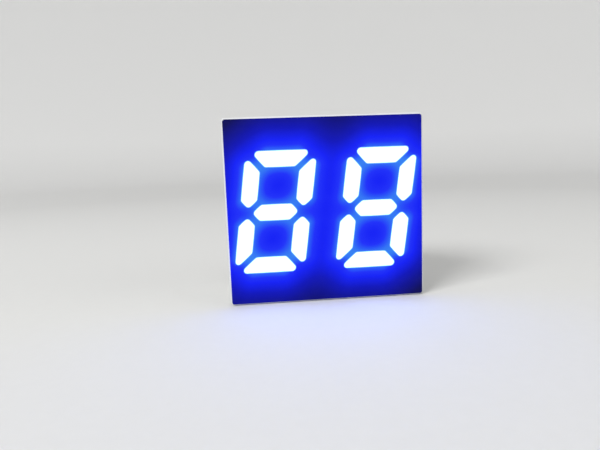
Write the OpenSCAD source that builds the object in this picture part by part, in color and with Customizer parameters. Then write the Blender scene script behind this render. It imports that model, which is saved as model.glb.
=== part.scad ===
// Two-digit seven-segment LED display with through-hole pins.
// A white reflector moulding, printed black on its face, holds fourteen
// funnel-shaped cavities. Each is cast full of milky epoxy over one LED chip,
// which sits on the circuit board behind. Ten wire pins leave through the
// potted back.
//
// Frame: X to the right and Z up as the digits are read, Y from the face to
// the pins. The origin is the centre of the pin grid on the seating plane,
// which is the rim at the back of the housing. Millimetres.
//
// The pieces are drawn lying on their pins, in a local frame with Y up the
// digit and Z towards the reader, and upright() stands them in the frame.

/* [Housing] */
// Width of the housing
body_w = 15; // [14.8:0.1:18]
// Height of the housing
body_h = 14; // [13:0.1:17]
// Depth of the light cavities, from the face to the board
cavity_d = 4.6; // [3.6:0.1:6]
// Wall round the board pocket at the back
wall = 0.75; // [0.5:0.05:1]
// Radius of the housing's four long corners
corner_r = 0.3; // [0.1:0.05:0.6]
// Chamfer round the face
face_chamfer = 0.12; // [0.05:0.01:0.2]
// Thickness of the black print on the face
print_t = 0.05; // [0.03:0.01:0.1]
// Diameter of the two posts that locate the board
post_d = 0.8; // [0.6:0.05:1]
// Distance between the two posts
post_spacing = 7; // [5:0.1:9]
// Height of a post's end behind the board
post_stake = 0.25; // [0.1:0.05:0.4]
// Plastic left between the face and the cores behind it
core_skin = 1.2; // [0.8:0.1:2]
// Plastic left between a core and the cavities round it
core_web = 0.5; // [0.35:0.05:0.7]

/* [Moulding marks] */
// Diameter of the dimple round the gate, in the top side
dimple_d = 1.2; // [0.8:0.1:2]
// Depth of the dimple
dimple_depth = 0.1; // [0.05:0.01:0.2]
// Distance from the rim to the gate
gate_z = 3.4; // [1.5:0.1:5]
// Diameter of the gate's sheared stub
gate_d = 0.5; // [0.3:0.1:0.7]
// How far the stub stays below the top side
gate_sink = 0.03; // [0.01:0.01:0.04]
// Diameter of the marks of the ejector pins, in the rim's corners
ejector_d = 0.5; // [0.3:0.02:0.5]
// Depth of the ejector pins' marks
ejector_depth = 0.03; // [0.01:0.01:0.05]

/* [Digits] */
// Height of a digit over its outer edges
digit_h = 9.14; // [8.4:0.02:10]
// Width of a digit, measured level
digit_w = 5.36; // [4.6:0.02:5.5]
// Distance between the two digits' centres
digit_pitch = 7.62; // [7:0.02:7.8]
// Width of a segment
segment_w = 1.25; // [1:0.02:1.4]
// Gap between the cut ends of neighbouring segments
segment_gap = 0.42; // [0.3:0.01:0.6]
// Radius of a segment's corners
segment_r = 0.28; // [0.1:0.01:0.3]
// Outward bow of a segment's long sides
segment_bow = 0.01; // [0.005:0.005:0.02]
// Lean of the digits to the right, in degrees
slant = 8; // [0:1:10]

/* [Light cavities] */
// Length of a cavity where it meets the board
throat_l = 1.9; // [1.8:0.05:2.2]
// Width of a cavity where it meets the board
throat_w = 0.9; // [0.75:0.05:1]

/* [LED chips] */
// Side of a chip
chip_w = 0.3; // [0.2:0.01:0.36]
// Height of a chip
chip_h = 0.1; // [0.08:0.01:0.2]
// Diameter of a bond wire
wire_d = 0.03; // [0.02:0.005:0.04]
// Distance from a chip's centre to a bond pad's centre
bond_reach = 0.56; // [0.5:0.01:0.6]
// Side of a bond pad
bond_pad_w = 0.26; // [0.2:0.01:0.3]
// Side of a chip's own pad
chip_pad_w = 0.44; // [0.4:0.01:0.46]

/* [Board] */
// Thickness of the circuit board
board_t = 0.8; // [0.6:0.1:1.2]
// Gap between the board's edge and the housing
board_gap = 0.1; // [0.05:0.01:0.2]
// Thickness of the copper
copper_t = 0.035; // [0.018:0.001:0.07]
// Gap round a post in the board
post_gap = 0.05; // [0.02:0.01:0.1]
// Wall of solder between a pin and its hole
solder_wall = 0.08; // [0.05:0.01:0.12]
// Width of the copper ring round a pin's hole
ring_w = 0.16; // [0.1:0.01:0.2]
// Height of a solder fillet
solder_h = 0.4; // [0.25:0.05:0.6]

/* [Back] */
// Depth of the potting behind the board
potting_d = 1.5; // [1.1:0.05:2]
// Depth of the potting's level below the rim
potting_recess = 0.3; // [0.1:0.05:0.5]
// Rise of the potting where it wets the walls and the pins
meniscus = 0.18; // [0.05:0.01:0.25]

/* [Pins] */
// Diameter of a pin's leg
pin_d = 0.5; // [0.4:0.05:0.6]
// How far a pin's shank, in the back and the board, stands out round its leg
shank_step = 0.02; // [0.01:0.01:0.04]
// How far the shank stands clear of the skirt that wets it
shank_rise = 0.04; // [0.02:0.01:0.08]
// Length of a pin below the seating plane
pin_l = 4.8; // [3:0.1:8]
// Distance between neighbouring pins in a row
pin_pitch = 2.54; // [2:0.01:2.6]
// Distance between the two rows of pins
row_spacing = 10.16; // [9.8:0.01:10.4]
// Height of a pin's head above the board
pin_head = 0.35; // [0.2:0.05:0.5]
// Chamfer on a pin's tip
tip_chamfer = 0.08; // [0.03:0.01:0.12]
// Gap round a pin's head in the housing
head_gap = 0.08; // [0.04:0.01:0.12]
// Plastic left between a pin's head and the nearest cavity
head_web = 0.2; // [0.15:0.01:0.3]

/* [Hidden] */
$fn = 48;

SIDES = ["left", "right"];
SEGMENTS = ["a", "b", "c", "d", "e", "f", "g"];
PINS_PER_ROW = 5;
PIN_COUNT = 2 * PINS_PER_ROW;
// Flat steps in a rounded corner, and along each side of a cavity's outline
ARC_STEPS = 5;
EDGE_STEPS = 3;
// How far a bond wire's ends sink into its pad and its chip, in degrees of its loop
BOND_SINK = 4;
// How far a cutting tool runs past the face that it leaves by
OVER = 0.2;

// Levels above the seating plane, towards the reader
potting_z = potting_recess;
skirt_z = potting_z - meniscus;
shank_z = skirt_z - shank_rise;
board_back_z = potting_z + potting_d;
board_z = board_back_z + board_t;
face_z = board_z + cavity_d;
plastic_z = face_z - print_t;
copper_z = board_z + copper_t;
solder_z = board_back_z - copper_t;
chip_z = copper_z + chip_h;

pocket_w = body_w - 2 * wall;
pocket_h = body_h - 2 * wall;
leg_r = pin_d / 2;
shank_r = leg_r + shank_step;
hole_r = shank_r + solder_wall;
ring_r = hole_r + ring_w;
head_r = ring_r + head_gap;
// A solder fillet spreads over two thirds of its ring
solder_r = hole_r + ring_w * 2 / 3;

// Centre lines of the bars, and the half widths that shape them
bar_x = (digit_w - segment_w) / 2;
bar_y = (digit_h - segment_w) / 2;
half_bar = segment_w / 2;
// How far a mitre's half gap moves its cut along the bar
cut = segment_gap / sqrt(2);
// Height of the outer level bars' chips, which keep clear of the pins' heads
outer_chip_y = min(bar_y, row_spacing / 2 - head_r - head_web - throat_w / 2);

// ---- Outlines ----

function unit(v) = v / norm(v);

// The points of one rounded corner at b, between a and c
function corner_arc(a, b, c, r) =
    let (
        to_a = unit(a - b),
        to_c = unit(c - b),
        half = acos(to_a * to_c) / 2,
        centre = b + unit(to_a + to_c) * r / sin(half),
        first = b + to_a * r / tan(half) - centre,
        last = b + to_c * r / tan(half) - centre,
        from = atan2(first.y, first.x),
        turn = atan2(first.x * last.y - first.y * last.x, first * last)
    )
    [for (i = [0 : ARC_STEPS])
        centre + r * [cos(from + turn * i / ARC_STEPS), sin(from + turn * i / ARC_STEPS)]];

// The points between two corners, on a side that bows out
function bowed_side(start, end, steps, bow) =
    let (out = unit([end.y - start.y, start.x - end.x]))
    [for (k = [1 : 1 : steps - 1])
        let (t = k / steps)
        start + (end - start) * t + out * 4 * bow * t * (1 - t)];

// A convex outline, anticlockwise, with its corners rounded and its sides cut in steps
function rounded(points, r, steps = 1, bow = 0) =
    let (
        n = len(points),
        arcs = [for (i = [0 : n - 1])
            corner_arc(points[(i + n - 1) % n], points[i], points[(i + 1) % n], r)]
    )
    [for (i = [0 : n - 1])
        each concat(arcs[i],
            bowed_side(arcs[i][ARC_STEPS], arcs[(i + 1) % n][0], steps, bow))];

function rectangle(w, h) = [[-w, -h], [w, -h], [w, h], [-w, h]] / 2;

// The body's outside, and its pocket at the back, drawn in by inset
function body_outline(inset) =
    rounded(rectangle(body_w - 2 * inset, body_h - 2 * inset), corner_r - inset);
function pocket_outline(inset) =
    rounded(rectangle(pocket_w - 2 * inset, pocket_h - 2 * inset), corner_r);

// A digit's segments, upright and centred, each anticlockwise
function top_bar() = [
    [-(bar_x - half_bar - cut), bar_y - half_bar],
    [bar_x - half_bar - cut, bar_y - half_bar],
    [bar_x + half_bar - cut, bar_y + half_bar],
    [-(bar_x + half_bar - cut), bar_y + half_bar]
];
function middle_bar() = [
    [-(bar_x - cut), 0],
    [-(bar_x - half_bar - cut), -half_bar],
    [bar_x - half_bar - cut, -half_bar],
    [bar_x - cut, 0],
    [bar_x - half_bar - cut, half_bar],
    [-(bar_x - half_bar - cut), half_bar]
];
function upper_left_bar() = [
    [-bar_x, cut],
    [-bar_x + half_bar, half_bar + cut],
    [-bar_x + half_bar, bar_y - half_bar - cut],
    [-bar_x - half_bar, bar_y + half_bar - cut],
    [-bar_x - half_bar, half_bar + cut]
];
function mirror_x(points) = [for (i = [len(points) - 1 : -1 : 0]) [-points[i].x, points[i].y]];
function mirror_y(points) = [for (i = [len(points) - 1 : -1 : 0]) [points[i].x, -points[i].y]];
function segment_points(seg) =
    seg == "a" ? top_bar() :
    seg == "b" ? mirror_x(upper_left_bar()) :
    seg == "c" ? mirror_y(mirror_x(upper_left_bar())) :
    seg == "d" ? mirror_y(top_bar()) :
    seg == "e" ? mirror_y(upper_left_bar()) :
    seg == "f" ? upper_left_bar() :
    middle_bar();

function is_level(seg) = seg == "a" || seg == "d" || seg == "g";
function segment_centre(seg) =
    seg == "a" ? [0, bar_y] :
    seg == "b" ? [bar_x, digit_h / 4] :
    seg == "c" ? [bar_x, -digit_h / 4] :
    seg == "d" ? [0, -bar_y] :
    seg == "e" ? [-bar_x, -digit_h / 4] :
    seg == "f" ? [-bar_x, digit_h / 4] :
    [0, 0];
function chip_centre(seg) =
    seg == "a" ? [0, outer_chip_y] :
    seg == "d" ? [0, -outer_chip_y] :
    segment_centre(seg);

function digit_x(side) = (side == "left" ? -1 : 1) * digit_pitch / 2;
// Leans an upright digit's point and puts it in its place
function placed(p, side) = [p.x + p.y * tan(slant) + digit_x(side), p.y];

// Size of a segment, which is also that of its oval throat, before the slant
function segment_size(seg) =
    is_level(seg)
    ? [seg == "g" ? digit_w - segment_w - 2 * cut : digit_w - 2 * cut, segment_w]
    : [segment_w, digit_h / 2 - 2 * cut];
function throat_size(seg) = is_level(seg) ? [throat_l, throat_w] : [throat_w, throat_l];

// A cavity's mouth is the segment itself, and its throat is an oval round the chip.
// Each point of the mouth has its partner in the same direction on the oval.
function mouth(seg) = rounded(segment_points(seg), segment_r, EDGE_STEPS, segment_bow);
function throat(seg) =
    let (span = segment_size(seg), oval = throat_size(seg) / 2)
    [for (p = mouth(seg))
        let (
            from_centre = p - segment_centre(seg),
            way = unit([from_centre.x / span.x, from_centre.y / span.y])
        )
        chip_centre(seg) + [way.x * oval.x, way.y * oval.y]];

function all_placed(points, side) = [for (p = points) placed(p, side)];

// ---- Shared solids ----

// Stands the local frame up: the digits' up becomes Z, and the face looks along -Y
module upright() {
    rotate([90, 0, 0]) children();
}

// A closed solid through rings of equal length: each ring is [outline, level]
module loft(rings) {
    n = len(rings[0][0]);
    top = (len(rings) - 1) * n;
    points = [for (ring = rings, p = ring[0]) [p.x, p.y, ring[1]]];
    sides = [for (r = [0 : len(rings) - 2], i = [0 : n - 1])
        let (a = r * n + i, b = r * n + (i + 1) % n)
        each [[a, a + n, b], [b, a + n, b + n]]];
    polyhedron(points, concat([[for (i = [0 : n - 1]) i]],
        [[for (i = [n - 1 : -1 : 0]) top + i]], sides));
}

module slab(outline, from, to) {
    translate([0, 0, from]) linear_extrude(to - from) polygon(outline);
}

function pin_place(n) =
    n <= PINS_PER_ROW
    ? [(n - (PINS_PER_ROW + 1) / 2) * pin_pitch, -row_spacing / 2]
    : [((PINS_PER_ROW + 1) / 2 - (n - PINS_PER_ROW)) * pin_pitch, row_spacing / 2];

module at_pins() {
    for (n = [1 : PIN_COUNT]) translate(pin_place(n)) children();
}

module at_posts() {
    for (s = [-1, 1]) translate([0, s * post_spacing / 2]) children();
}

// ---- Housing ----

module light_cavity(side, seg) {
    throat = all_placed(throat(seg), side);
    mouth = all_placed(mouth(seg), side);
    loft([[throat, board_z - OVER], [throat, board_z], [mouth, face_z], [mouth, face_z + OVER]]);
}

// A hollow cored out from the back, inside one of a digit's two loops
module core(side, loop) {
    w = digit_w - 2 * (segment_w + core_web);
    h = (digit_h - 3 * segment_w) / 2 - 2 * core_web;
    outline = [for (p = rectangle(w, h)) p + [0, loop * digit_h / 4]];
    slab(rounded(all_placed(outline, side), segment_r), board_z - OVER, face_z - core_skin);
}

module housing_block() {
    loft([[body_outline(0), 0], [body_outline(0), plastic_z - face_chamfer],
        [body_outline(face_chamfer), plastic_z]]);
}

module gate_dimple() {
    translate([0, body_h / 2 + OVER, gate_z]) rotate([90, 0, 0])
        cylinder(d = dimple_d, h = dimple_depth + OVER);
}

module gate_stub() {
    translate([0, body_h / 2 - gate_sink, gate_z]) rotate([90, 0, 0])
        cylinder(d = gate_d, h = dimple_depth);
}

module ejector_marks() {
    for (x = [-1, 1], y = [-1, 1])
        translate([x * (body_w - wall) / 2, y * (body_h - wall) / 2, -OVER])
            cylinder(d = ejector_d, h = ejector_depth + OVER);
}

module reflector_housing() {
    color("white") upright() {
        difference() {
            housing_block();
            gate_dimple();
            ejector_marks();
            slab(pocket_outline(0), -OVER, board_z);
            at_pins() translate([0, 0, board_z - OVER])
                cylinder(r = head_r, h = pin_head + head_gap + OVER);
            for (side = SIDES) {
                for (seg = SEGMENTS) light_cavity(side, seg);
                for (loop = [-1, 1]) core(side, loop);
            }
        }
        gate_stub();
        at_posts() post();
    }
}

module black_face() {
    color([0.03, 0.03, 0.04]) upright() difference() {
        slab(body_outline(face_chamfer), plastic_z, face_z);
        for (side = SIDES, seg = SEGMENTS)
            slab(all_placed(mouth(seg), side), plastic_z - OVER, face_z + OVER);
    }
}

module post() {
    translate([0, 0, board_back_z - post_stake])
        cylinder(d = post_d, h = board_t + post_stake);
}

// ---- Chips and wires ----

// Puts its children on the board under a segment, with X along the segment
module at_chip(side, seg) {
    along = is_level(seg) ? 0 : 90 - slant;
    translate(placed(chip_centre(seg), side)) rotate(along) children();
}

module square_block(w, from, to) {
    translate([-w / 2, -w / 2, from]) cube([w, w, to - from]);
}

module chip() {
    square_block(chip_w, copper_z, chip_z);
}

module chip_pads() {
    square_block(chip_pad_w, board_z, copper_z);
    for (s = [-1, 1]) translate([s * bond_reach, 0]) square_block(bond_pad_w, board_z, copper_z);
}

// One looped wire: it stands on its bond pad and bends over onto the chip
module bond_loop() {
    landing = chip_w / 4;
    span = bond_reach - landing;
    loop_r = (span * span + chip_h * chip_h) / (2 * span);
    sweep = 180 - asin(chip_h / loop_r) + 2 * BOND_SINK;
    translate([bond_reach - loop_r, 0, copper_z]) rotate([90, BOND_SINK, 0])
        rotate_extrude(angle = sweep) translate([loop_r, 0]) circle(d = wire_d);
}

module bond_pair() {
    for (turn = [0, 180]) rotate(turn) bond_loop();
}

module led_chip(side, seg) {
    color([0.75, 0.85, 0.95]) upright() at_chip(side, seg) chip();
}

module bond_wires(side) {
    color("gold") upright() for (seg = SEGMENTS) at_chip(side, seg) difference() {
        bond_pair();
        chip();
        chip_pads();
    }
}

// ---- Cast segments ----

module light_segment(side, seg) {
    color([0.88, 0.95, 1]) upright() difference() {
        loft([[all_placed(throat(seg), side), board_z], [all_placed(mouth(seg), side), face_z]]);
        at_chip(side, seg) {
            chip_pads();
            chip();
            bond_pair();
        }
    }
}

// ---- Board ----

module circuit_board() {
    color([0.80, 0.84, 0.72]) upright() difference() {
        slab(pocket_outline(board_gap), board_back_z, board_z);
        at_pins() translate([0, 0, board_back_z - OVER]) cylinder(r = hole_r, h = board_t + 2 * OVER);
        at_posts() translate([0, 0, board_back_z - OVER])
            cylinder(d = post_d + 2 * post_gap, h = board_t + 2 * OVER);
    }
}

module pin_ring(from) {
    translate([0, 0, from]) difference() {
        cylinder(r = ring_r, h = copper_t);
        translate([0, 0, -OVER]) cylinder(r = hole_r, h = copper_t + 2 * OVER);
    }
}

module board_pads() {
    color([0.85, 0.65, 0.3]) upright() {
        for (side = SIDES, seg = SEGMENTS) at_chip(side, seg) chip_pads();
        at_pins() {
            pin_ring(board_z);
            pin_ring(solder_z);
        }
    }
}

// Solder fills the hole round the pin and climbs the pin behind the board
module solder_joints() {
    color("silver") upright() at_pins() rotate_extrude() polygon([
        [shank_r, solder_z - solder_h],
        [solder_r, solder_z],
        [hole_r, solder_z],
        [hole_r, copper_z],
        [shank_r, copper_z]
    ]);
}

module solder_envelope() {
    at_pins() translate([0, 0, solder_z - solder_h])
        cylinder(r1 = shank_r, r2 = solder_r, h = solder_h);
}

// ---- Pins ----

module pin_wire() {
    top = board_z + pin_head;
    rotate_extrude() polygon([
        [0, -pin_l],
        [leg_r - tip_chamfer, -pin_l],
        [leg_r, -pin_l + tip_chamfer],
        [leg_r, shank_z],
        [shank_r, shank_z + shank_step],
        [shank_r, top - tip_chamfer],
        [shank_r - tip_chamfer, top],
        [0, top]
    ]);
}

module pin(n) {
    color("gainsboro") upright() translate(pin_place(n)) pin_wire();
}

// ---- Potting ----

// The hollow that surface tension leaves: level in the middle, risen at the walls
module potting_dish() {
    loft([for (i = [0 : ARC_STEPS])
        let (a = 90 * i / ARC_STEPS)
        [pocket_outline(2 * meniscus * (1 - cos(a))), skirt_z + meniscus * sin(a)]]);
}

// The small hollow skirt that wets each pin
module pin_skirt() {
    curve = [for (i = [0 : ARC_STEPS])
        let (a = 90 * i / ARC_STEPS)
        [leg_r + meniscus * (1 - cos(a)), skirt_z + meniscus * sin(a)]];
    rotate_extrude() polygon(concat([[0, potting_z + OVER], [0, skirt_z]], curve,
        [[leg_r + meniscus, potting_z + OVER]]));
}

module back_potting() {
    color([0.86, 0.87, 0.82]) upright() difference() {
        union() {
            difference() {
                slab(pocket_outline(0), skirt_z, board_z);
                potting_dish();
            }
            at_pins() pin_skirt();
        }
        slab(pocket_outline(board_gap), board_back_z, board_z + OVER);
        at_pins() {
            translate([0, 0, solder_z]) cylinder(r = ring_r, h = copper_t);
            pin_wire();
        }
        solder_envelope();
        at_posts() post();
    }
}

// ---- Nodes ----

reflector_housing();
black_face();
for (side = SIDES, seg = SEGMENTS) {
    light_segment(side, seg);
    led_chip(side, seg);
}
for (side = SIDES) bond_wires(side);
circuit_board();
board_pads();
solder_joints();
back_potting();
for (n = [1 : PIN_COUNT]) pin(n);
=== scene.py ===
"""Dresses a two-digit seven-segment display: segments, face, housing, potting and pins."""

from math import e, pi, radians

import bmesh
import bpy
from bpy.props import FloatProperty, FloatVectorProperty, PointerProperty
from mathutils import Matrix, Vector


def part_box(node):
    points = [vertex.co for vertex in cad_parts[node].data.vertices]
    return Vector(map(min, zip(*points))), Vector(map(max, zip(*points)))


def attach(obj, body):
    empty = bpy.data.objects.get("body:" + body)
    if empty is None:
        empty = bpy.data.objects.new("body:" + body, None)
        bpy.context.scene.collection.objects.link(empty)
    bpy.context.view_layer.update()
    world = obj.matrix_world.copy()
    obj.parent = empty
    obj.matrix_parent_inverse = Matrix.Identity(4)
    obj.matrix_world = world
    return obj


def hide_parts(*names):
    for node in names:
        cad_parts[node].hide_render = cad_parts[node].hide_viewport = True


bl_info = {
    "name": "Seven-segment display",
    "version": (1, 0, 0),
    "blender": (4, 5, 0),
    "location": "3D View > Sidebar > Display",
    "description": "Dresses the solid model of a two-digit display and sets its stage",
    "category": "Object",
}

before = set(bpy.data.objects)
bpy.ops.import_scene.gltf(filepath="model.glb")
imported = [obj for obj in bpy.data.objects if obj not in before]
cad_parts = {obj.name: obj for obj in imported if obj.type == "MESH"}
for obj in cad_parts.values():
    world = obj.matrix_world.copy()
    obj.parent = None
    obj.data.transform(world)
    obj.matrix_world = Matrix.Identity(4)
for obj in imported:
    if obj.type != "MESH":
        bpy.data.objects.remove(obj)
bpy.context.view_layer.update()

MM = 0.001
# Vertices nearer than this are joined, and faces flatter than this are made one
JOIN = 0.001 * MM
FLAT = radians(0.2)
# How far a vertex may lie from a plane and still count as on it
ON_PLANE = 0.002 * MM
# How nearly a face has to look along a direction, as a cosine
STRAIGHT = 0.999

FORWARDS = Vector((0.0, -1.0, 0.0))
BACKWARDS = Vector((0.0, 1.0, 0.0))
WHITE = (1.0, 1.0, 1.0, 1.0)

SIDES = ("left", "right")
LEVEL_BARS = "adg"
UPRIGHT_BARS = "bcef"
PIN_COUNT = 10

SEGMENT_NODES = [f"{side}_segment_{bar}" for side in SIDES for bar in LEVEL_BARS + UPRIGHT_BARS]
CHIP_NODES = [name.replace("segment", "chip") for name in SEGMENT_NODES]
WIRE_NODES = [f"{side}_bond_wires" for side in SIDES]

# What the solids say of the display
FACE_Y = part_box("black_face")[0].y
PRINT_BACK_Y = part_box("black_face")[1].y
HOUSING_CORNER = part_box("reflector_housing")[1]
POCKET_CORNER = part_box("back_potting")[1]
RIM_Y = HOUSING_CORNER.y
FLOOR_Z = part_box("reflector_housing")[0].z
BAR_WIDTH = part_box("left_segment_g")[1].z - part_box("left_segment_g")[0].z
# Where a pin's shank begins, and how far it stands out round the leg
SHOULDER_Y = -0.08 * MM
SHANK_STEP = 0.02 * MM
# The middle of the dimple that the gate was sheared off in
GATE = Vector((0.0, -3.4 * MM, HOUSING_CORNER.z))


def middle(node):
    """The middle of a solid's box."""
    low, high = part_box(node)
    return (low + high) / 2


TOP_MIDDLE = middle("left_segment_a")
BOTTOM_MIDDLE = middle("left_segment_d")
# How far the digits lean to the right for each unit of height
LEAN = (TOP_MIDDLE.x - BOTTOM_MIDDLE.x) / (TOP_MIDDLE.z - BOTTOM_MIDDLE.z)


# ---- Settings ----

def length(name, description, default):
    """A size that the panel shows, in metres."""
    return FloatProperty(
        name=name, description=description, default=default, min=0.0,
        precision=6, unit="LENGTH", subtype="DISTANCE",
    )


def colour(name, description, default):
    """A colour that the panel shows."""
    return FloatVectorProperty(
        name=name, description=description, default=default, min=0.0, max=1.0,
        size=3, subtype="COLOR",
    )


def amount(name, description, default, high=1.0):
    """A plain number that the panel shows."""
    return FloatProperty(
        name=name, description=description, default=default, min=0.0, max=high, subtype="FACTOR",
    )


def power(name, description, default):
    """A lamp's power that the panel shows, in watts."""
    return FloatProperty(
        name=name, description=description, default=default, min=0.0, unit="POWER",
    )


class DISPLAY_PG_segments(bpy.types.PropertyGroup):
    """The cast segments and their light."""

    core: colour("Core", "Light in the middle of a segment", (0.24, 0.38, 1.0))
    rim: colour("Rim", "Light at the very edge of a segment", (0.012, 0.045, 0.16))
    epoxy: colour("Epoxy", "Milky epoxy in the middle of a segment", (0.80, 0.90, 1.0))
    # The epoxy's colour at the edge, painted deep blue for the segment's light there
    epoxy_rim_painted_light: colour("Epoxy rim", "Milky epoxy at the edge of a segment", (0.03, 0.10, 0.45))
    strength: amount("Strength", "Strength of the light", 6.0, 50.0)
    rim_width: length("Rim width", "Width of the band in which the light falls off", 0.16 * MM)
    sink: length("Sink", "How far the epoxy has shrunk below the face", 0.02 * MM)


class DISPLAY_PG_face(bpy.types.PropertyGroup):
    """The black print, and the halo of blue glow painted on it."""

    ink: colour("Ink", "Colour of the print", (0.0028, 0.0028, 0.0034))
    # The halo's colours are a glow painted on the ink, strongest by the segments
    near: colour("Near glow", "Halo between segments that lie close together", (0.04, 0.27, 0.87))
    middle: colour("Middle glow", "Halo 0.3 mm out", (0.009, 0.026, 0.94))
    wide: colour("Wide glow", "Halo 0.7 mm out", (0.002, 0.011, 0.91))
    broad: colour("Broad glow", "Halo 1.5 mm out", (0.0, 0.003, 0.48))
    far: colour("Far glow", "Halo where it ends", (0.0, 0.0, 0.09))
    reach: length("Reach", "How far from the segments the halo ends", 3.2 * MM)
    spread: length("Spread", "How far the glows of neighbouring segments run together", 0.5 * MM)


class DISPLAY_PG_housing(bpy.types.PropertyGroup):
    """The moulded housing, and the blue glow painted on it by the face."""

    plastic: colour("Plastic", "Colour of the moulding", (0.71, 0.72, 0.70))
    # Glow painted on the walls by the face, for the segments' light coming through the plastic
    painted_wall_glow: colour("Bleed", "Blue light that comes through by the face", (0.002, 0.012, 0.16))
    wall_glow_depth: length("Bleed depth", "How far behind the face the walls glow", 3.4 * MM)
    rim_round: length("Rim round", "Rounding of the rim at the back", 0.09 * MM)
    face_round: length("Face round", "Rounding of the chamfer's edges", 0.035 * MM)
    mark_round: length("Mark round", "Rounding of the gate's and the ejectors' marks", 0.02 * MM)


class DISPLAY_PG_potting(bpy.types.PropertyGroup):
    """The potting in the back."""

    epoxy: colour("Epoxy", "Colour of the potting", (0.66, 0.67, 0.56))
    cloud: colour("Cloud", "Colour of its denser patches", (0.74, 0.75, 0.67))
    shadow: colour("Shadow", "What shows through of a solder joint", (0.40, 0.41, 0.38))
    shadow_r: length("Shadow radius", "Radius in which a solder joint shows through", 0.95 * MM)
    bubble: length("Bubble", "Radius of the bubbles that burst in the skin", 0.07 * MM)


class DISPLAY_PG_pins(bpy.types.PropertyGroup):
    """The wire pins."""

    tin: colour("Tin", "Colour of the tinned wire", (0.70, 0.70, 0.69))
    cut: colour("Cut", "Bare metal where the tip was sheared", (0.56, 0.40, 0.28))
    tip_round: length("Tip round", "Rounding of the tip's edge", 0.08 * MM)
    nub: length("Nub", "Height of the sheared nub on the tip", 0.02 * MM)


class DISPLAY_PG_inside(bpy.types.PropertyGroup):
    """What the housing hides."""

    board: colour("Board", "Laminate of the circuit board", (0.55, 0.58, 0.38))
    gold: colour("Gold", "Pads, rings and wires", (0.90, 0.66, 0.28))
    solder: colour("Solder", "Solder joints", (0.66, 0.67, 0.68))
    chip: colour("Chip", "Light-emitting chips", (0.62, 0.76, 0.92))


class DISPLAY_PG_stage(bpy.types.PropertyGroup):
    """The floor, the light and the camera."""

    floor: colour("Floor", "Colour of the floor and the backdrop", (0.70, 0.70, 0.69))
    radius: length("Radius", "Distance to the backdrop", 520 * MM)
    wall: length("Wall", "Height of the backdrop", 420 * MM)
    lift: amount("Lift", "How much paler the backdrop is seen than the lamps make it", 0.27)
    key: power("Key light", "Power of the light in front on the left", 0.85)
    fill: power("Fill light", "Power of the light on the right and of the one overhead", 0.16)
    sky: amount("Sky", "Strength of the light from all round", 0.42, 5.0)


# ---- Modelling ----

def deselect_all():
    """Leaves object mode with nothing selected."""
    if bpy.context.object and bpy.context.object.mode != "OBJECT":
        bpy.ops.object.mode_set(mode="OBJECT")
    bpy.ops.object.select_all(action="DESELECT")


def work_on(piece):
    """Selects one piece alone and opens it in edit mode with nothing selected in it."""
    deselect_all()
    bpy.context.view_layer.objects.active = piece
    piece.select_set(True)
    bpy.ops.object.mode_set(mode="EDIT")
    bpy.ops.mesh.select_all(action="DESELECT")


def choose_faces(piece, wanted):
    """Selects the faces that pass a test, and those alone."""
    bpy.ops.mesh.select_mode(type="FACE")
    mesh = bmesh.from_edit_mesh(piece.data)
    for face in mesh.faces:
        face.select_set(wanted(face))
    bmesh.update_edit_mesh(piece.data)


def choose_edges(piece, wanted):
    """Selects the edges that pass a test, and those alone."""
    bpy.ops.mesh.select_mode(type="EDGE")
    mesh = bmesh.from_edit_mesh(piece.data)
    for edge in mesh.edges:
        edge.select_set(wanted(edge))
    bmesh.update_edit_mesh(piece.data)


def leave_editing(piece, smooth_angle):
    """Closes edit mode and shades smooth up to an angle in degrees, with broad faces flat."""
    bpy.ops.object.mode_set(mode="OBJECT")
    bpy.ops.object.shade_smooth_by_angle(angle=radians(smooth_angle))
    bpy.ops.object.modifier_add(type="WEIGHTED_NORMAL")
    piece.modifiers[-1].keep_sharp = True
    bpy.ops.object.modifier_apply(modifier=piece.modifiers[-1].name)
    piece.data.update()


def facing(face, way):
    """Whether a face looks straight along a direction."""
    return face.normal.dot(way) > STRAIGHT


def lies_at(edge, y):
    """Whether an edge lies in the plane that is square to Y and at y."""
    return all(abs(v.co.y - y) < ON_PLANE for v in edge.verts)


def is_sharp(edge, angle):
    """Whether an edge's two faces meet at more than an angle, in degrees."""
    return len(edge.link_faces) == 2 and edge.calc_face_angle(0.0) > radians(angle)


def copy_of_solid(node, name):
    """A piece with a solid's own mesh, joined up and with its flat faces whole, in edit mode."""
    piece = bpy.data.objects.new(name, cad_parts[node].data.copy())
    piece.data.name = name
    piece.data.materials.clear()
    bpy.context.scene.collection.objects.link(piece)
    work_on(piece)
    bpy.ops.mesh.select_all(action="SELECT")
    bpy.ops.mesh.remove_doubles(threshold=JOIN)
    bpy.ops.mesh.dissolve_limited(angle_limit=FLAT)
    bpy.ops.mesh.select_all(action="DESELECT")
    return piece


def finish_piece(piece, material, node):
    """Gives a piece its material, and puts it in the place of a solid."""
    piece.data.materials.append(material)
    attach(piece, "root")
    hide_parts(node)


def paint_solid(node, material):
    """Gives a solid that stays as it is its material."""
    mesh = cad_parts[node].data
    mesh.materials.clear()
    mesh.materials.append(material)


# ---- Shader nodes ----

def new_material(name):
    """A material that holds one Principled shader, its node tree, and that shader."""
    material = bpy.data.materials.new(name)
    material.use_nodes = True
    tree = material.node_tree
    tree.nodes.clear()
    shader = add(tree, "BsdfPrincipled")
    output = add(tree, "OutputMaterial")
    tree.links.new(shader.outputs["BSDF"], output.inputs["Surface"])
    return material, tree, shader


def add(tree, kind, inputs=None, **settings):
    """Adds a shader node, with its settings, and its inputs linked or set."""
    made = tree.nodes.new("ShaderNode" + kind)
    for key, value in settings.items():
        setattr(made, key, value)
    for key, value in (inputs or {}).items():
        if isinstance(value, bpy.types.NodeSocket):
            tree.links.new(value, made.inputs[key])
        else:
            made.inputs[key].default_value = value
    return made


def maths(tree, operation, *values):
    """The result of a Math node."""
    return add(tree, "Math", dict(enumerate(values)), operation=operation).outputs[0]


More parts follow.
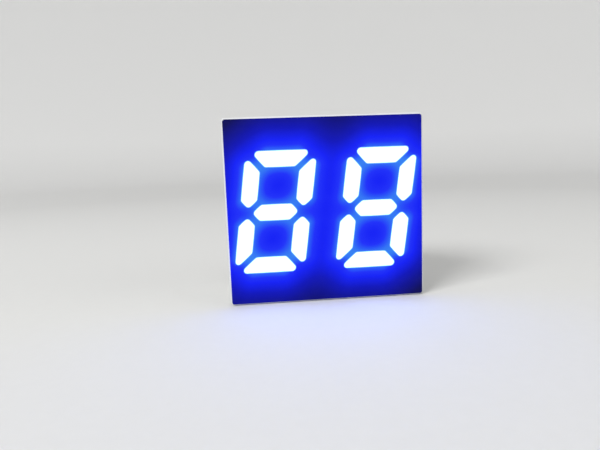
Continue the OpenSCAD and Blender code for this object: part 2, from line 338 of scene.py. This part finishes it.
def vector_maths(tree, operation, *values):
    """The vector that a Vector Math node gives."""
    return add(tree, "VectorMath", dict(enumerate(values)), operation=operation).outputs[0]


def vector_size(tree, operation, *values):
    """The number that a Vector Math node gives, such as a length or a distance."""
    made = add(tree, "VectorMath", dict(enumerate(values)), operation=operation)
    return made.outputs["Value"]


def axes(tree, place):
    """A place's parts along X, Y and Z."""
    return add(tree, "SeparateXYZ", {0: place}).outputs


def ramp(tree, factor, stops):
    """A colour that runs through stops of (place, colour)."""
    made = add(tree, "ValToRGB", {"Fac": factor})
    elements = made.color_ramp.elements
    while len(elements) < len(stops):
        elements.new(1.0)
    for element, (place, shade) in zip(elements, stops):
        element.position = place
        element.color = (*shade, 1.0)
    return made.outputs["Color"]


def spread(tree, value, low, high, to_low, to_high):
    """A value carried from one range into another, and kept inside it."""
    made = add(tree, "MapRange", {
        "Value": value, "From Min": low, "From Max": high, "To Min": to_low, "To Max": to_high,
    })
    return made.outputs["Result"]


def object_place(tree):
    """Where on the piece a point lies, in metres."""
    return add(tree, "TexCoord").outputs["Object"]


def stretched(tree, place, scale):
    """Places stretched or squeezed along each axis."""
    return add(tree, "Mapping", {"Vector": place, "Scale": scale}).outputs["Vector"]


def noise(tree, place, grain, detail=3.0, roughness=0.5):
    """Noise whose lumps are about as wide as grain, from 0 to 1."""
    inputs = {"Vector": place, "Scale": 1.0 / grain, "Detail": detail, "Roughness": roughness}
    return add(tree, "TexNoise", inputs).outputs["Fac"]


def link(tree, source, shader, socket):
    """Links a source to one of a shader's sockets."""
    tree.links.new(source, shader.inputs[socket])


def bump(tree, shader, height, depth):
    """Raises a shader's surface by a height from 0 to 1, over a depth in metres."""
    made = add(tree, "Bump", {"Height": height, "Distance": depth})
    link(tree, made.outputs["Normal"], shader, "Normal")


# Between these a noise has nearly all its values
NOISE_RANGE = (0.3, 0.7)


def two_tone(tree, pattern, first, second):
    """A colour that runs from one shade to another as a noise rises."""
    low, high = NOISE_RANGE
    return ramp(tree, pattern, [(low, first), (high, second)])


def roughen(tree, shader, pattern, smoothest, roughest):
    """Makes a surface rougher as a noise rises."""
    link(tree, spread(tree, pattern, *NOISE_RANGE, smoothest, roughest), shader, "Roughness")


# ---- Distance from the lit bars ----

# Rounding of a bar's corners in the distance field, and how much of its width each end loses
BAR_CORNER = 0.28 * MM
END_LOSS = {"a": 0.5, "d": 0.5, "g": 0.25, "b": 0.25, "c": 0.25, "e": 0.25, "f": 0.25}


def bar_without_lean(node):
    """The middle and the half size of a segment's bar, with the digits' lean taken out."""
    low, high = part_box(node)
    centre = (low + high) / 2
    bar = node[-1]
    loss = BAR_WIDTH * END_LOSS[bar]
    if bar in LEVEL_BARS:
        half = Vector(((high.x - low.x) / 2 - loss, 0.0, BAR_WIDTH / 2))
    else:
        half = Vector((BAR_WIDTH / 2, 0.0, (high.z - low.z) / 2 - loss))
    return Vector((centre.x - centre.z * LEAN, 0.0, centre.z)), half


def bar_distance_group(blending):
    """A node group that gives how far a point is from the nearest segments, seen from the front.

    Each bar is a rounded rectangle, and neighbours run together: distance is
    -s * log(sum(exp(-d / s))), with s the blending.
    """
    group = bpy.data.node_groups.new("distance_from_bars", "ShaderNodeTree")
    group.interface.new_socket("Place", in_out="INPUT", socket_type="NodeSocketVector")
    group.interface.new_socket("Distance", in_out="OUTPUT", socket_type="NodeSocketFloat")
    start = group.nodes.new("NodeGroupInput")
    end = group.nodes.new("NodeGroupOutput")

    parts = axes(group, start.outputs[0])
    upright_x = maths(group, "MULTIPLY_ADD", parts["Z"], -LEAN, parts["X"])
    place = add(group, "CombineXYZ", {"X": upright_x, "Z": parts["Z"]}).outputs[0]

    total = 0.0
    for node in SEGMENT_NODES:
        centre, half = bar_without_lean(node)
        core = Vector((half.x - BAR_CORNER, 0.0, half.z - BAR_CORNER))
        offset = vector_maths(group, "ABSOLUTE", vector_maths(group, "SUBTRACT", place, centre))
        outside = vector_maths(group, "SUBTRACT", offset, core)
        clipped = vector_maths(group, "MAXIMUM", outside, (0.0, 0.0, 0.0))
        away = vector_size(group, "LENGTH", clipped)
        power = maths(group, "MULTIPLY_ADD", away, -1.0 / blending, BAR_CORNER / blending)
        total = maths(group, "ADD", maths(group, "EXPONENT", power), total)
    distance = maths(group, "MULTIPLY", maths(group, "LOGARITHM", total, e), -blending)
    group.links.new(distance, end.inputs[0])
    return group


def distance_from_bars(tree, place, blending):
    """The distance of a place from the lit bars, in a material's tree."""
    group = bpy.data.node_groups.get("distance_from_bars") or bar_distance_group(blending)
    made = tree.nodes.new("ShaderNodeGroup")
    made.node_tree = group
    tree.links.new(place, made.inputs[0])
    return made.outputs[0]


# ---- Materials ----

def lit_epoxy(settings):
    """Milky epoxy full of light: white in the middle, cyan and then blue at its edge, where its
    own colour is painted deep blue as well.
    """
    material, tree, shader = new_material("lit_epoxy")
    lit = add(tree, "Attribute", attribute_name="lit").outputs["Fac"]
    core, rim = Vector(settings.core), Vector(settings.rim)
    glow = ramp(tree, lit, [
        (0.0, rim),
        (0.35, rim.lerp(core, 0.12)),
        (0.7, rim.lerp(core, 0.55)),
        (1.0, core),
    ])
    place = object_place(tree)
    milk = spread(tree, noise(tree, place, 0.8 * MM, 4.0), *NOISE_RANGE, -0.12, 0.0)
    light_and_cloud = maths(tree, "ADD", lit, milk)
    # Painted light: the epoxy's own colour follows the segment's light, deep blue at the rim and
    # white in the middle, with a milky cloud
    body = ramp(tree, light_and_cloud, [(0.0, settings.epoxy_rim_painted_light), (1.0, settings.epoxy)])
    link(tree, body, shader, "Base Color")
    link(tree, glow, shader, "Emission Color")
    shader.inputs["Emission Strength"].default_value = settings.strength
    roughen(tree, shader, noise(tree, place, 0.06 * MM), 0.22, 0.34)
    bump(tree, shader, noise(tree, place, 0.5 * MM), 0.004 * MM)
    return material


# Where the halo starts: between close segments the blended distance falls below nought
HALO_START = -0.5 * MM


def black_print(settings):
    """Matt black ink with fine grain, with the segments' blue light painted on it as a glowing
    halo.
    """
    material, tree, shader = new_material("black_print")
    place = object_place(tree)
    near = distance_from_bars(tree, place, settings.spread)
    share = spread(tree, near, HALO_START, settings.reach, 0.0, 1.0)
    near_glow, middle_glow = Vector(settings.near), Vector(settings.middle)
    wide_glow, broad_glow = Vector(settings.wide), Vector(settings.broad)
    far_glow = Vector(settings.far)
    # Painted light: the ink glows blue, most near the segments and fading outwards, for their
    # light spreading over the face
    halo = ramp(tree, share, [
        (0.0, near_glow),
        (0.11, near_glow.lerp(middle_glow, 0.42)),
        (0.165, near_glow.lerp(middle_glow, 0.76)),
        (0.22, middle_glow),
        (0.32, wide_glow),
        (0.42, wide_glow.lerp(broad_glow, 0.45)),
        (0.54, broad_glow),
        (0.725, broad_glow.lerp(far_glow, 0.5)),
        (1.0, far_glow),
    ])
    link(tree, halo, shader, "Emission Color")
    shader.inputs["Emission Strength"].default_value = 1.0

    mottle = noise(tree, place, 0.7 * MM, 5.0, 0.6)
    ink = Vector(settings.ink)
    link(tree, two_tone(tree, mottle, ink * 0.8, ink * 1.35), shader, "Base Color")
    grain = noise(tree, place, 0.045 * MM, 2.0)
    roughen(tree, shader, grain, 0.50, 0.68)
    shader.inputs["Specular IOR Level"].default_value = 0.09
    bump(tree, shader, grain, 0.004 * MM)
    return material


def white_plastic(settings, blending):
    """Satin white moulding, with a little blue glow painted on by the face where the segments'
    light would come through.
    """
    material, tree, shader = new_material("white_plastic")
    place = object_place(tree)
    flow = noise(tree, stretched(tree, place, (1.0, 0.35, 1.0)), 2.5 * MM, 4.0)
    plastic = Vector(settings.plastic)
    from_gate = vector_size(tree, "DISTANCE", place, GATE)
    blush = spread(tree, from_gate, 0.5 * MM, 3.5 * MM, 0.35, 0.0)
    tone = maths(tree, "SUBTRACT", flow, blush)
    link(tree, two_tone(tree, tone, plastic * 0.94, plastic * 1.03), shader, "Base Color")

    grain = noise(tree, place, 0.09 * MM, 4.0, 0.65)
    handled = noise(tree, place, 1.8 * MM, 5.0, 0.6)
    texture = maths(tree, "MULTIPLY_ADD", grain, 0.5, maths(tree, "MULTIPLY", handled, 0.5))
    link(tree, spread(tree, texture, 0.35, 0.65, 0.30, 0.52), shader, "Roughness")
    bump(tree, shader, grain, 0.006 * MM)

    # Painted light: the walls glow blue near the face and the segments, fading with depth
    depth = maths(tree, "SUBTRACT", axes(tree, place)["Y"], FACE_Y)
    sideways = maths(tree, "MAXIMUM", distance_from_bars(tree, place, blending), 0.0)
    away = maths(tree, "MULTIPLY_ADD", sideways, 0.4, depth)
    share = maths(tree, "DIVIDE", away, settings.wall_glow_depth)
    painted_wall_glow = Vector(settings.painted_wall_glow)
    light = ramp(tree, share, [
        (0.0, painted_wall_glow),
        (0.25, painted_wall_glow * 0.45),
        (0.6, painted_wall_glow * 0.10),
        (1.0, painted_wall_glow * 0.0),
    ])
    link(tree, light, shader, "Emission Color")
    shader.inputs["Emission Strength"].default_value = 1.0
    return material


def distance_from_pins(tree, parts):
    """How far a point is from the axis of the nearest pin."""
    pitch = middle("pin_2").x - middle("pin_1").x
    row_z = abs(middle("pin_1").z)
    column = maths(tree, "ROUND", maths(tree, "DIVIDE", parts["X"], pitch))
    along = maths(tree, "SUBTRACT", parts["X"], maths(tree, "MULTIPLY", column, pitch))
    across = maths(tree, "SUBTRACT", maths(tree, "ABSOLUTE", parts["Z"]), row_z)
    offset = add(tree, "CombineXYZ", {"X": along, "Z": across}).outputs[0]
    return vector_size(tree, "LENGTH", offset)


# The room round a bubble, and the reach of its flat bottom, in radii of the bubble
BUBBLE_ROOM = 22
BUBBLE_BOTTOM = 0.4
# The share of the rooms that stay without a bubble
NO_BUBBLE = 0.6


def burst_bubbles(tree, parts, radius):
    """Sparse round pits, 1 in their middles and 0 elsewhere."""
    cell = BUBBLE_ROOM * radius
    flat = add(tree, "CombineXYZ", {"X": parts["X"], "Y": parts["Z"]}).outputs[0]
    inputs = {"Vector": flat, "Scale": 1.0 / cell}
    cells = add(tree, "TexVoronoi", inputs, voronoi_dimensions="2D").outputs
    bottom = BUBBLE_BOTTOM * radius / cell
    pit = spread(tree, cells["Distance"], bottom, radius / cell, 1.0, 0.0)
    red = add(tree, "SeparateColor", {"Color": cells["Color"]}).outputs["Red"]
    return maths(tree, "MULTIPLY", pit, maths(tree, "GREATER_THAN", red, NO_BUBBLE))


def potting_epoxy(settings):
    """Glossy cast epoxy, milky and uneven, with the solder joints dim below it."""
    material, tree, shader = new_material("potting_epoxy")
    place = object_place(tree)
    parts = axes(tree, place)
    cloud = noise(tree, place, 3.0 * MM, 4.0, 0.55)
    milk = ramp(tree, cloud, [(0.35, settings.epoxy), (0.65, settings.cloud)])
    away = distance_from_pins(tree, parts)
    ragged = maths(tree, "MULTIPLY_ADD", noise(tree, place, 0.6 * MM), 0.3 * MM, away)
    full_r = 0.55 * MM
    darkest = 0.55
    dimness = spread(tree, ragged, full_r, settings.shadow_r, darkest, 0.0)
    seen = add(tree, "MixRGB", {"Fac": dimness, "Color1": milk, "Color2": (*settings.shadow, 1.0)})
    link(tree, seen.outputs["Color"], shader, "Base Color")

    smear = noise(tree, place, 0.8 * MM, 3.0)
    link(tree, spread(tree, smear, 0.35, 0.7, 0.10, 0.24), shader, "Roughness")
    shader.inputs["Coat Weight"].default_value = 0.5
    shader.inputs["Coat Roughness"].default_value = 0.06
    bubbles = burst_bubbles(tree, parts, settings.bubble)
    swell = noise(tree, place, 1.6 * MM, 2.0)
    bump(tree, shader, maths(tree, "MULTIPLY_ADD", bubbles, -0.6, swell), 0.06 * MM)
    return material


def tinned_wire(settings, tip_y):
    """Tinned wire with fine draw lines, and bare metal on the sheared tip."""
    material, tree, shader = new_material("tinned_wire")
    place = object_place(tree)
    lines = noise(tree, stretched(tree, place, (1.0, 0.04, 1.0)), 0.06 * MM, 2.0)
    blotch = noise(tree, place, 0.5 * MM, 2.0)
    tin = Vector(settings.tin)
    skin = two_tone(tree, blotch, tin * 0.82, tin * 1.1)
    ragged = maths(tree, "MULTIPLY_ADD", blotch, 0.06 * MM, axes(tree, place)["Y"])
    bare = spread(tree, ragged, tip_y - 0.01 * MM, tip_y + 0.02 * MM, 0.0, 1.0)
    mixed = add(tree, "MixRGB", {"Fac": bare, "Color1": skin, "Color2": (*settings.cut, 1.0)})
    link(tree, mixed.outputs["Color"], shader, "Base Color")
    roughen(tree, shader, lines, 0.26, 0.36)
    shader.inputs["Metallic"].default_value = 1.0
    bump(tree, shader, lines, 0.0012 * MM)
    return material


def plain_metal(name, shade, grain, smoothest, roughest):
    """Bright metal with a fine uneven skin."""
    material, tree, shader = new_material(name)
    place = object_place(tree)
    skin = noise(tree, place, grain, 4.0)
    metal = Vector(shade)
    link(tree, two_tone(tree, skin, metal * 0.85, metal * 1.08), shader, "Base Color")
    roughen(tree, shader, skin, smoothest, roughest)
    shader.inputs["Metallic"].default_value = 1.0
    bump(tree, shader, skin, 0.002 * MM)
    return material


def glass_laminate(settings):
    """Circuit-board laminate: woven glass under clear resin."""
    material, tree, shader = new_material("glass_laminate")
    place = object_place(tree)
    thread = 0.25 * MM
    weave = []
    for axis in ("X", "Z"):
        inputs = {"Vector": place, "Scale": 1.0 / (thread * 2 * pi), "Distortion": 0.6}
        wave = add(tree, "TexWave", inputs, bands_direction=axis)
        weave.append(wave.outputs["Fac"])
    cloth = maths(tree, "MULTIPLY", *weave)
    resin = Vector(settings.board)
    link(tree, ramp(tree, cloth, [(0.0, resin * 0.8), (1.0, resin * 1.15)]), shader, "Base Color")
    link(tree, spread(tree, cloth, 0.0, 1.0, 0.28, 0.42), shader, "Roughness")
    bump(tree, shader, cloth, 0.006 * MM)
    return material


def crystal_chip(settings):
    """Pale polished crystal."""
    material, tree, shader = new_material("crystal_chip")
    place = object_place(tree)
    haze = noise(tree, place, 0.08 * MM, 2.0)
    chip = Vector(settings.chip)
    link(tree, two_tone(tree, haze, chip * 0.9, chip), shader, "Base Color")
    roughen(tree, shader, haze, 0.05, 0.12)
    bump(tree, shader, haze, 0.001 * MM)
    return material


# Between these shares of the way to the backdrop, the paper comes to be seen paler
LIFT_RANGE = (0.25, 0.75)


def studio_paper(settings):
    """Pale studio paper that stays pale where it sweeps up far from the lamps."""
    material, tree, shader = new_material("studio_paper")
    place = object_place(tree)
    fibre = noise(tree, place, 0.6 * MM, 4.0)
    shade = Vector(settings.floor)
    link(tree, two_tone(tree, fibre, shade * 0.985, shade), shader, "Base Color")
    roughen(tree, shader, fibre, 0.70, 0.80)
    shader.inputs["Specular IOR Level"].default_value = 0.2
    bump(tree, shader, fibre, 0.01 * MM)

    away = vector_size(tree, "LENGTH", place)
    start, end = (settings.radius * share for share in LIFT_RANGE)
    lift = spread(tree, away, start, end, 0.0, settings.lift)
    ray = add(tree, "LightPath").outputs
    seen = maths(tree, "MAXIMUM", ray["Is Camera Ray"], ray["Is Glossy Ray"])
    seen = maths(tree, "MAXIMUM", seen, ray["Is Transmission Ray"])
    shader.inputs["Emission Color"].default_value = WHITE
    link(tree, maths(tree, "MULTIPLY", lift, seen), shader, "Emission Strength")
    return material


# ---- Pieces ----

class DISPLAY_OT_cast_segments(bpy.types.Operator):
    """Casts the fourteen lit segments."""

    bl_idname = "display.cast_segments"
    bl_label = "Cast the segments"

    # How far each ring lies inside the one before, as a share of the rim, and its light
    RINGS = ((0.3, 0.35), (0.3, 0.7), (0.4, 1.0))

    def execute(self, context):
        settings = context.scene.display_segments
        material = lit_epoxy(settings)
        for node in SEGMENT_NODES:
            piece = self.cast(node, settings)
            finish_piece(piece, material, node)
        return {"FINISHED"}

    def cast(self, node, settings):
        """Insets rings into a segment's front, each brighter and lower than the last."""
        piece = copy_of_solid(node, node.replace("segment", "lit_segment"))
        bpy.ops.object.mode_set(mode="OBJECT")
        piece.data.attributes.new("lit", "FLOAT", "POINT")
        bpy.ops.object.mode_set(mode="EDIT")
        choose_faces(piece, self.on_front)
        bpy.ops.mesh.dissolve_faces()
        for share, light in self.RINGS:
            bpy.ops.mesh.inset(
                thickness=settings.rim_width * share,
                depth=-settings.sink * share,
                use_even_offset=True,
            )
            self.mark_light(piece, light)
        leave_editing(piece, smooth_angle=30)
        return piece

    def on_front(self, face):
        """Whether a face is part of a segment's front."""
        return facing(face, FORWARDS) and abs(face.calc_center_median().y - FACE_Y) < ON_PLANE

    def mark_light(self, piece, light):
        """Writes how much light the selected faces' corners give."""
        mesh = bmesh.from_edit_mesh(piece.data)
        layer = mesh.verts.layers.float["lit"]
        for face in mesh.faces:
            if face.select:
                for vertex in face.verts:
                    vertex[layer] = light
        bmesh.update_edit_mesh(piece.data)


class DISPLAY_OT_print_face(bpy.types.Operator):
    """Prints the face black and paints a glow of the segments' light on it."""

    bl_idname = "display.print_face"
    bl_label = "Print the face"

    def execute(self, context):
        paint_solid("black_face", black_print(context.scene.display_face))
        return {"FINISHED"}


class DISPLAY_OT_mould_housing(bpy.types.Operator):
    """Moulds the housing with rounded edges."""

    bl_idname = "display.mould_housing"
    bl_label = "Mould the housing"

    # The least angles, in degrees, between the faces at a square edge and at a chamfer's
    SQUARE_EDGE = 60
    CHAMFER_EDGE = 30
    # How far from the sides the rim's outer edges may lie
    RIM_MARGIN = 0.1 * MM
    # How far from the sides, and behind the print, the chamfer's edges may lie
    CHAMFER_MARGIN = 0.3 * MM
    # The normals of the chamfer's faces have a Y between these
    CHAMFER_SLANT = (-0.9, -0.5)
    # How far from the middle of the gate's dimple its edges may lie
    GATE_REACH = 0.7 * MM

    def execute(self, context):
        scene = context.scene
        settings = scene.display_housing
        piece = copy_of_solid("reflector_housing", "moulded_housing")
        for wanted, size, segments in (
            (self.on_rim, settings.rim_round, 4),
            (self.on_chamfer, settings.face_round, 3),
            (self.on_mark, settings.mark_round, 2),
        ):
            choose_edges(piece, wanted)
            bpy.ops.mesh.bevel(offset=size, segments=segments, affect="EDGES")
        leave_editing(piece, smooth_angle=40)
        material = white_plastic(settings, scene.display_face.spread)
        finish_piece(piece, material, "reflector_housing")
        return {"FINISHED"}

    def on_rim(self, edge):
        """Whether an edge bounds the flat rim at the back."""
        if not lies_at(edge, RIM_Y) or not is_sharp(edge, self.SQUARE_EDGE):
            return False
        return all(
            self.is_near_side(v.co, self.RIM_MARGIN) or self.is_at_pocket(v.co)
            for v in edge.verts
        )

    def is_near_side(self, place, margin):
        """Whether a place lies within a margin of one of the four sides."""
        corner = HOUSING_CORNER
        return abs(place.x) > corner.x - margin or abs(place.z) > corner.z - margin

    def is_at_pocket(self, place):
        """Whether a place lies in the outline of the pocket that holds the potting."""
        corner = POCKET_CORNER
        return abs(place.x) < corner.x + ON_PLANE and abs(place.z) < corner.z + ON_PLANE

    def on_chamfer(self, edge):
        """Whether an edge bounds the chamfer round the face."""
        place = edge.verts[0].co
        margin = self.CHAMFER_MARGIN
        if not is_sharp(edge, self.CHAMFER_EDGE) or not self.is_near_side(place, margin):
            return False
        low, high = self.CHAMFER_SLANT
        slanted = [face for face in edge.link_faces if low < face.normal.y < high]
        return len(slanted) == 1 and place.y < PRINT_BACK_Y + margin

    def on_mark(self, edge):
        """Whether an edge belongs to the gate's mark or to a mark of an ejector pin."""
        if not is_sharp(edge, self.SQUARE_EDGE):
            return False
        if lies_at(edge, RIM_Y):
            return not self.on_rim(edge)
        return all((v.co - GATE).length < self.GATE_REACH for v in edge.verts)


class DISPLAY_OT_pot_back(bpy.types.Operator):
    """Pots the back."""

    bl_idname = "display.pot_back"
    bl_label = "Pot the back"

    def execute(self, context):
        piece = copy_of_solid("back_potting", "cast_potting")
        leave_editing(piece, smooth_angle=50)
        material = potting_epoxy(context.scene.display_potting)
        finish_piece(piece, material, "back_potting")
        return {"FINISHED"}


class DISPLAY_OT_draw_pins(bpy.types.Operator):
    """Draws the ten wire pins."""

    bl_idname = "display.draw_pins"
    bl_label = "Draw the pins"

    SIDES_OF_WIRE = 40
    # How far the nub lies inside the leg's side, in roundings of the tip
    NUB_INSET = 1.6
    # The least angle, in degrees, between the faces at the tip's edge
    TIP_EDGE = 60

    def execute(self, context):
        settings = context.scene.display_pins
        low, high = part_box("pin_1")
        first = self.form_pin(low, high, settings)
        material = tinned_wire(settings, high.y)
        for number in range(1, PIN_COUNT + 1):
            move = middle(f"pin_{number}") - middle("pin_1")
            piece = first
            if number > 1:
                piece = bpy.data.objects.new(f"tinned_pin_{number}", first.data.copy())
                context.scene.collection.objects.link(piece)
                piece.data.materials.clear()
                piece.data.transform(Matrix.Translation(move))
            finish_piece(piece, material, f"pin_{number}")
        return {"FINISHED"}

    def form_pin(self, low, high, settings):
        """One pin: a leg with a sheared tip, and the thicker shank that goes into the back."""
        centre = (low + high) / 2
        shank_r = (high.x - low.x) / 2
        leg_r = shank_r - SHANK_STEP
        tip_y = high.y - settings.nub
        deselect_all()
        bpy.ops.mesh.primitive_cylinder_add(
            vertices=self.SIDES_OF_WIRE,
            radius=leg_r,
            depth=tip_y - SHOULDER_Y,
            location=(centre.x, (tip_y + SHOULDER_Y) / 2, centre.z),
            rotation=(pi / 2, 0.0, 0.0),
        )
        piece = bpy.context.object
        piece.name = piece.data.name = "tinned_pin_1"
        bpy.ops.object.transform_apply(location=True, rotation=True, scale=True)

        work_on(piece)
        choose_faces(piece, lambda face: facing(face, FORWARDS))
        bpy.ops.mesh.extrude_region_move(
            TRANSFORM_OT_translate={"value": (0.0, leg_r - shank_r, 0.0)})
        bpy.ops.transform.resize(value=(shank_r / leg_r, 1.0, shank_r / leg_r))
        bpy.ops.mesh.extrude_region_move(
            TRANSFORM_OT_translate={"value": (0.0, low.y - SHOULDER_Y + shank_r - leg_r, 0.0)})

        choose_faces(piece, lambda face: facing(face, BACKWARDS))
        bpy.ops.mesh.inset(thickness=settings.tip_round * self.NUB_INSET)
        bpy.ops.transform.translate(value=(0.0, settings.nub, 0.0))
        choose_edges(piece, lambda edge: lies_at(edge, tip_y) and is_sharp(edge, self.TIP_EDGE))
        bpy.ops.mesh.bevel(offset=settings.tip_round, segments=4, affect="EDGES")
        leave_editing(piece, smooth_angle=40)
        return piece


class DISPLAY_OT_finish_inside(bpy.types.Operator):
    """Finishes the board, its metal and the chips."""

    bl_idname = "display.finish_inside"
    bl_label = "Finish the inside"

    def execute(self, context):
        settings = context.scene.display_inside
        gold = plain_metal("gold_flash", settings.gold, 0.08 * MM, 0.18, 0.34)
        for node in ["board_pads", *WIRE_NODES]:
            paint_solid(node, gold)
        paint_solid("solder_joints", plain_metal("solder", settings.solder, 0.15 * MM, 0.14, 0.30))
        paint_solid("circuit_board", glass_laminate(settings))
        chip = crystal_chip(settings)
        for node in CHIP_NODES:
            paint_solid(node, chip)
        return {"FINISHED"}


# ---- Stage ----

# The camera's place, in millimetres, and its turns about X, Y and Z, in degrees
CAMERA_PLACE = (-5.22, -43.17, 3.68)
CAMERA_TURNS = (82.53, 2.14, -5.36)
SENSOR_WIDTH = 36.0
LENS = 29.1
# How near to the camera and how far from it things are seen
SEEN_FROM = 1 * MM
SEEN_TO = 5.0

# Each lamp's place and the width of its square, in millimetres
LAMPS = {
    "key_light": ((-190, -170, 240), 150),
    "fill_light": ((230, -120, 150), 220),
    "top_light": ((20, 60, 290), 260),
}


class DISPLAY_OT_set_stage(bpy.types.Operator):
    """Sets the floor, the lights, the sky and the camera."""

    bl_idname = "display.set_stage"
    bl_label = "Set the stage"

    FLOOR_SIDES = 96
    # How far the floor's sweep reaches, as a share of the backdrop's height, and its steps
    SWEEP = 0.6
    SWEEP_STEPS = 16

    def execute(self, context):
        settings = context.scene.display_stage
        self.lay_floor(settings)
        self.hang_light("key_light", settings.key)
        self.hang_light("fill_light", settings.fill)
        self.hang_light("top_light", settings.fill)
        self.light_sky(context, settings)
        self.place_camera(context)
        context.scene.view_settings.view_transform = "Standard"
        return {"FINISHED"}

    def lay_floor(self, settings):
        """A round floor whose edge sweeps up into the backdrop."""
        deselect_all()
        bpy.ops.mesh.primitive_circle_add(
            vertices=self.FLOOR_SIDES,
            radius=settings.radius,
            fill_type="NGON",
            location=(0.0, 0.0, FLOOR_Z),
        )
        floor = bpy.context.object
        floor.name = floor.data.name = "studio_floor"
        bpy.ops.object.transform_apply(location=True, rotation=True, scale=True)
        work_on(floor)
        choose_edges(floor, lambda edge: edge.is_boundary)
        bpy.ops.mesh.extrude_region_move(
            TRANSFORM_OT_translate={"value": (0.0, 0.0, settings.wall)})
        choose_edges(floor, lambda edge: all(abs(v.co.z - FLOOR_Z) < ON_PLANE for v in edge.verts))
        bpy.ops.mesh.bevel(
            offset=settings.wall * self.SWEEP, segments=self.SWEEP_STEPS, affect="EDGES")
        leave_editing(floor, smooth_angle=60)
        floor.data.materials.append(studio_paper(settings))

    def hang_light(self, name, watts):
        """A square lamp that looks at the middle of the display's back rim."""
        place, width = LAMPS[name]
        lamp = bpy.data.lights.new(name, "AREA")
        lamp.shape = "SQUARE"
        lamp.size = width * MM
        lamp.energy = watts
        light = bpy.data.objects.new(name, lamp)
        light.location = Vector(place) * MM
        light.rotation_euler = (-light.location).to_track_quat("-Z", "Y").to_euler()
        bpy.context.scene.collection.objects.link(light)

    def light_sky(self, context, settings):
        """Even light from all round."""
        world = bpy.data.worlds.new("studio_sky")
        world.use_nodes = True
        background = world.node_tree.nodes["Background"]
        background.inputs["Color"].default_value = WHITE
        background.inputs["Strength"].default_value = settings.sky
        context.scene.world = world

    def place_camera(self, context):
        """A camera close to the display, a little left of it and above."""
        lens = bpy.data.cameras.new("camera")
        lens.sensor_width = SENSOR_WIDTH
        lens.lens = LENS
        lens.clip_start = SEEN_FROM
        lens.clip_end = SEEN_TO
        camera = bpy.data.objects.new("camera", lens)
        camera.location = Vector(CAMERA_PLACE) * MM
        camera.rotation_euler = [radians(turn) for turn in CAMERA_TURNS]
        context.scene.collection.objects.link(camera)
        context.scene.camera = camera


class DISPLAY_PT_panel(bpy.types.Panel):
    """Lists the steps and their settings."""

    bl_label = "Display"
    bl_space_type = "VIEW_3D"
    bl_region_type = "UI"
    bl_category = "Display"

    def draw(self, context):
        for operator, name in STEPS:
            box = self.layout.box()
            box.operator(operator)
            settings = getattr(context.scene, name)
            for key in settings.bl_rna.properties.keys():
                if key not in {"rna_type", "name"}:
                    box.prop(settings, key)


# Each step's operator, and the settings that it reads
STEPS = (
    ("display.cast_segments", "display_segments"),
    ("display.print_face", "display_face"),
    ("display.mould_housing", "display_housing"),
    ("display.pot_back", "display_potting"),
    ("display.draw_pins", "display_pins"),
    ("display.finish_inside", "display_inside"),
    ("display.set_stage", "display_stage"),
)

SETTINGS = {
    "display_segments": DISPLAY_PG_segments,
    "display_face": DISPLAY_PG_face,
    "display_housing": DISPLAY_PG_housing,
    "display_potting": DISPLAY_PG_potting,
    "display_pins": DISPLAY_PG_pins,
    "display_inside": DISPLAY_PG_inside,
    "display_stage": DISPLAY_PG_stage,
}

OPERATORS = (
    DISPLAY_OT_cast_segments,
    DISPLAY_OT_print_face,
    DISPLAY_OT_mould_housing,
    DISPLAY_OT_pot_back,
    DISPLAY_OT_draw_pins,
    DISPLAY_OT_finish_inside,
    DISPLAY_OT_set_stage,
)


def register():
    """Adds the settings, the steps and the panel."""
    for name, settings in SETTINGS.items():
        bpy.utils.register_class(settings)
        setattr(bpy.types.Scene, name, PointerProperty(type=settings))
    for operator in OPERATORS:
        bpy.utils.register_class(operator)
    bpy.utils.register_class(DISPLAY_PT_panel)


def unregister():
    """Takes away what register added."""
    bpy.utils.unregister_class(DISPLAY_PT_panel)
    for operator in reversed(OPERATORS):
        bpy.utils.unregister_class(operator)
    for name, settings in reversed(SETTINGS.items()):
        delattr(bpy.types.Scene, name)
        bpy.utils.unregister_class(settings)


def main():
    """Dresses the display and sets its stage."""
    register()
    bpy.ops.display.cast_segments()
    bpy.ops.display.print_face()
    bpy.ops.display.mould_housing()
    bpy.ops.display.pot_back()
    bpy.ops.display.draw_pins()
    bpy.ops.display.finish_inside()
    bpy.ops.display.set_stage()


if __name__ == "__main__":
    main()
